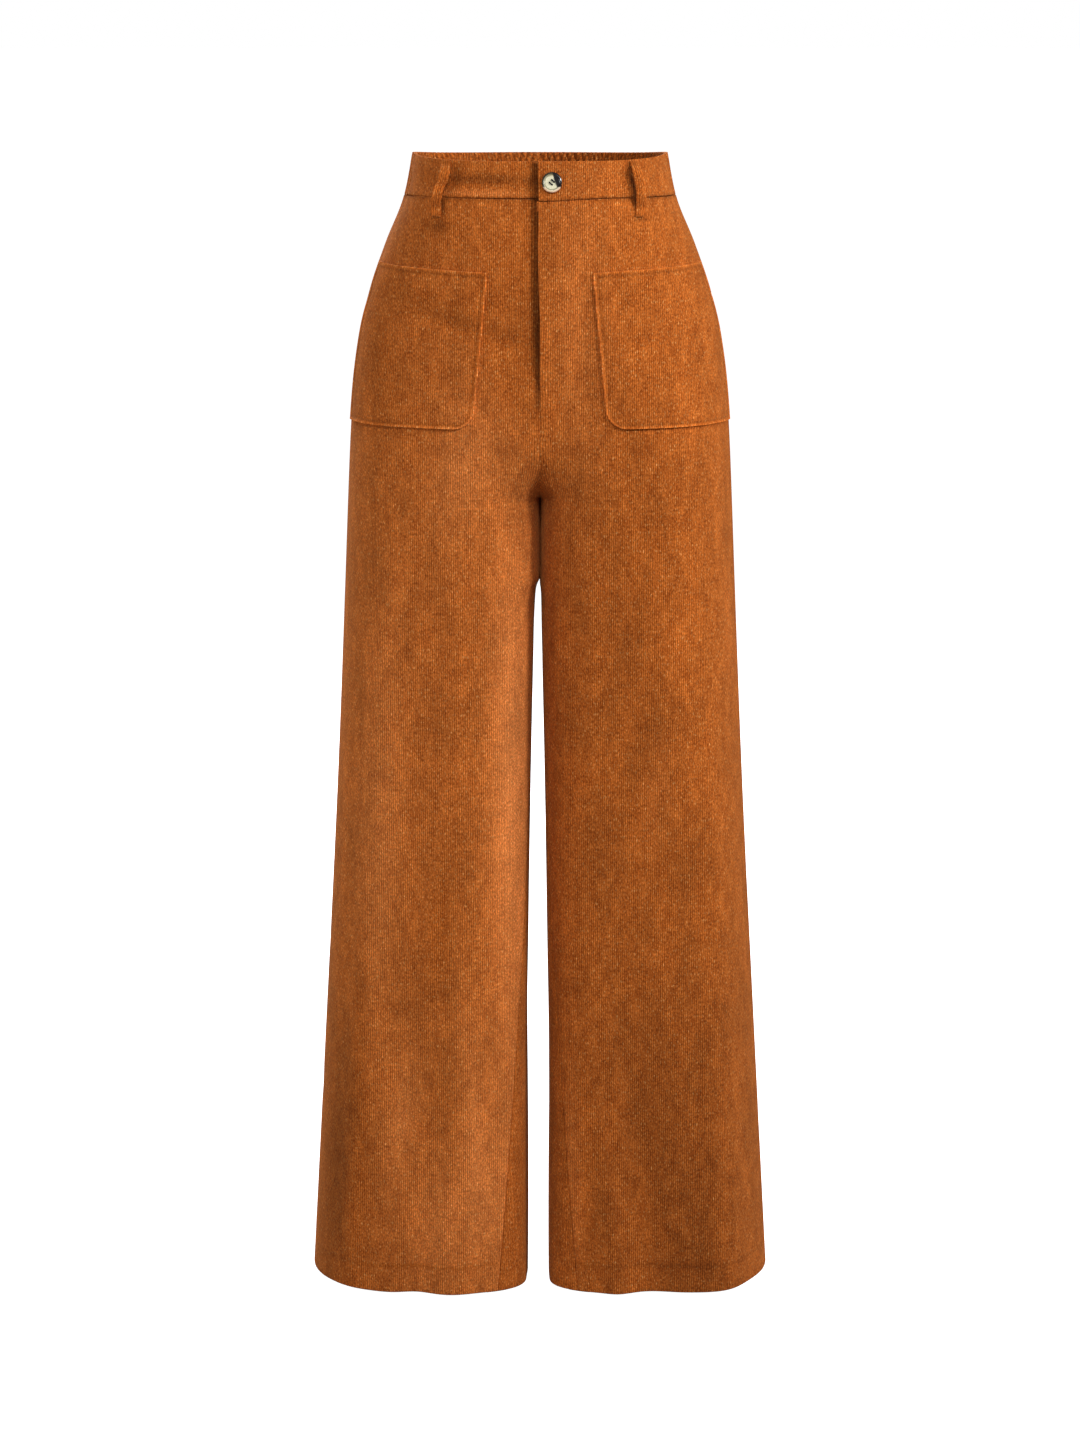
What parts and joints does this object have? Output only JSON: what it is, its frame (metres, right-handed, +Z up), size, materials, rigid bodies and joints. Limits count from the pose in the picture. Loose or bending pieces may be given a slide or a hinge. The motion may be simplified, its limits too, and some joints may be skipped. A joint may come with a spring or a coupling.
{
  "type": "wide-leg trousers",
  "caption": "High-waisted wide-leg corduroy trousers held in worn form, with a buttoned fly front, patch pockets, belt loops and an elasticated back waist.",
  "frame": {"origin": "middle of the waist opening, level with the top edge of the waistband at the sides", "axes": "+Z up, front faces -Y, wearer's left is +X"},
  "size_m": [0.4342, 0.2297, 1.05],
  "materials": {
    "corduroy": "rust-coloured fine-wale cotton corduroy",
    "button_shell": "cream and brown marbled, glossy",
    "thread": "dark sewing thread",
    "zip_tape": "woven tape with its coil",
    "zip_metal": "plated"
  },
  "bodies": {
    "root": {"front_panel_right": "corduroy", "front_panel_left": "corduroy", "back_panel_right": "corduroy", "back_panel_left": "corduroy", "waistband_front_right": "corduroy", "waistband_front_left": "corduroy", "waistband_back": "corduroy", "pocket_right": "corduroy", "pocket_left": "corduroy", "belt_loop_front_right": "corduroy", "belt_loop_front_left": "corduroy", "belt_loop_back_right": "corduroy", "belt_loop_back_left": "corduroy", "waist_button": "button_shell", "button_thread": "thread", "fly_zip": "zip_tape", "zip_slider": "zip_metal"}
  },
  "joints": []
}
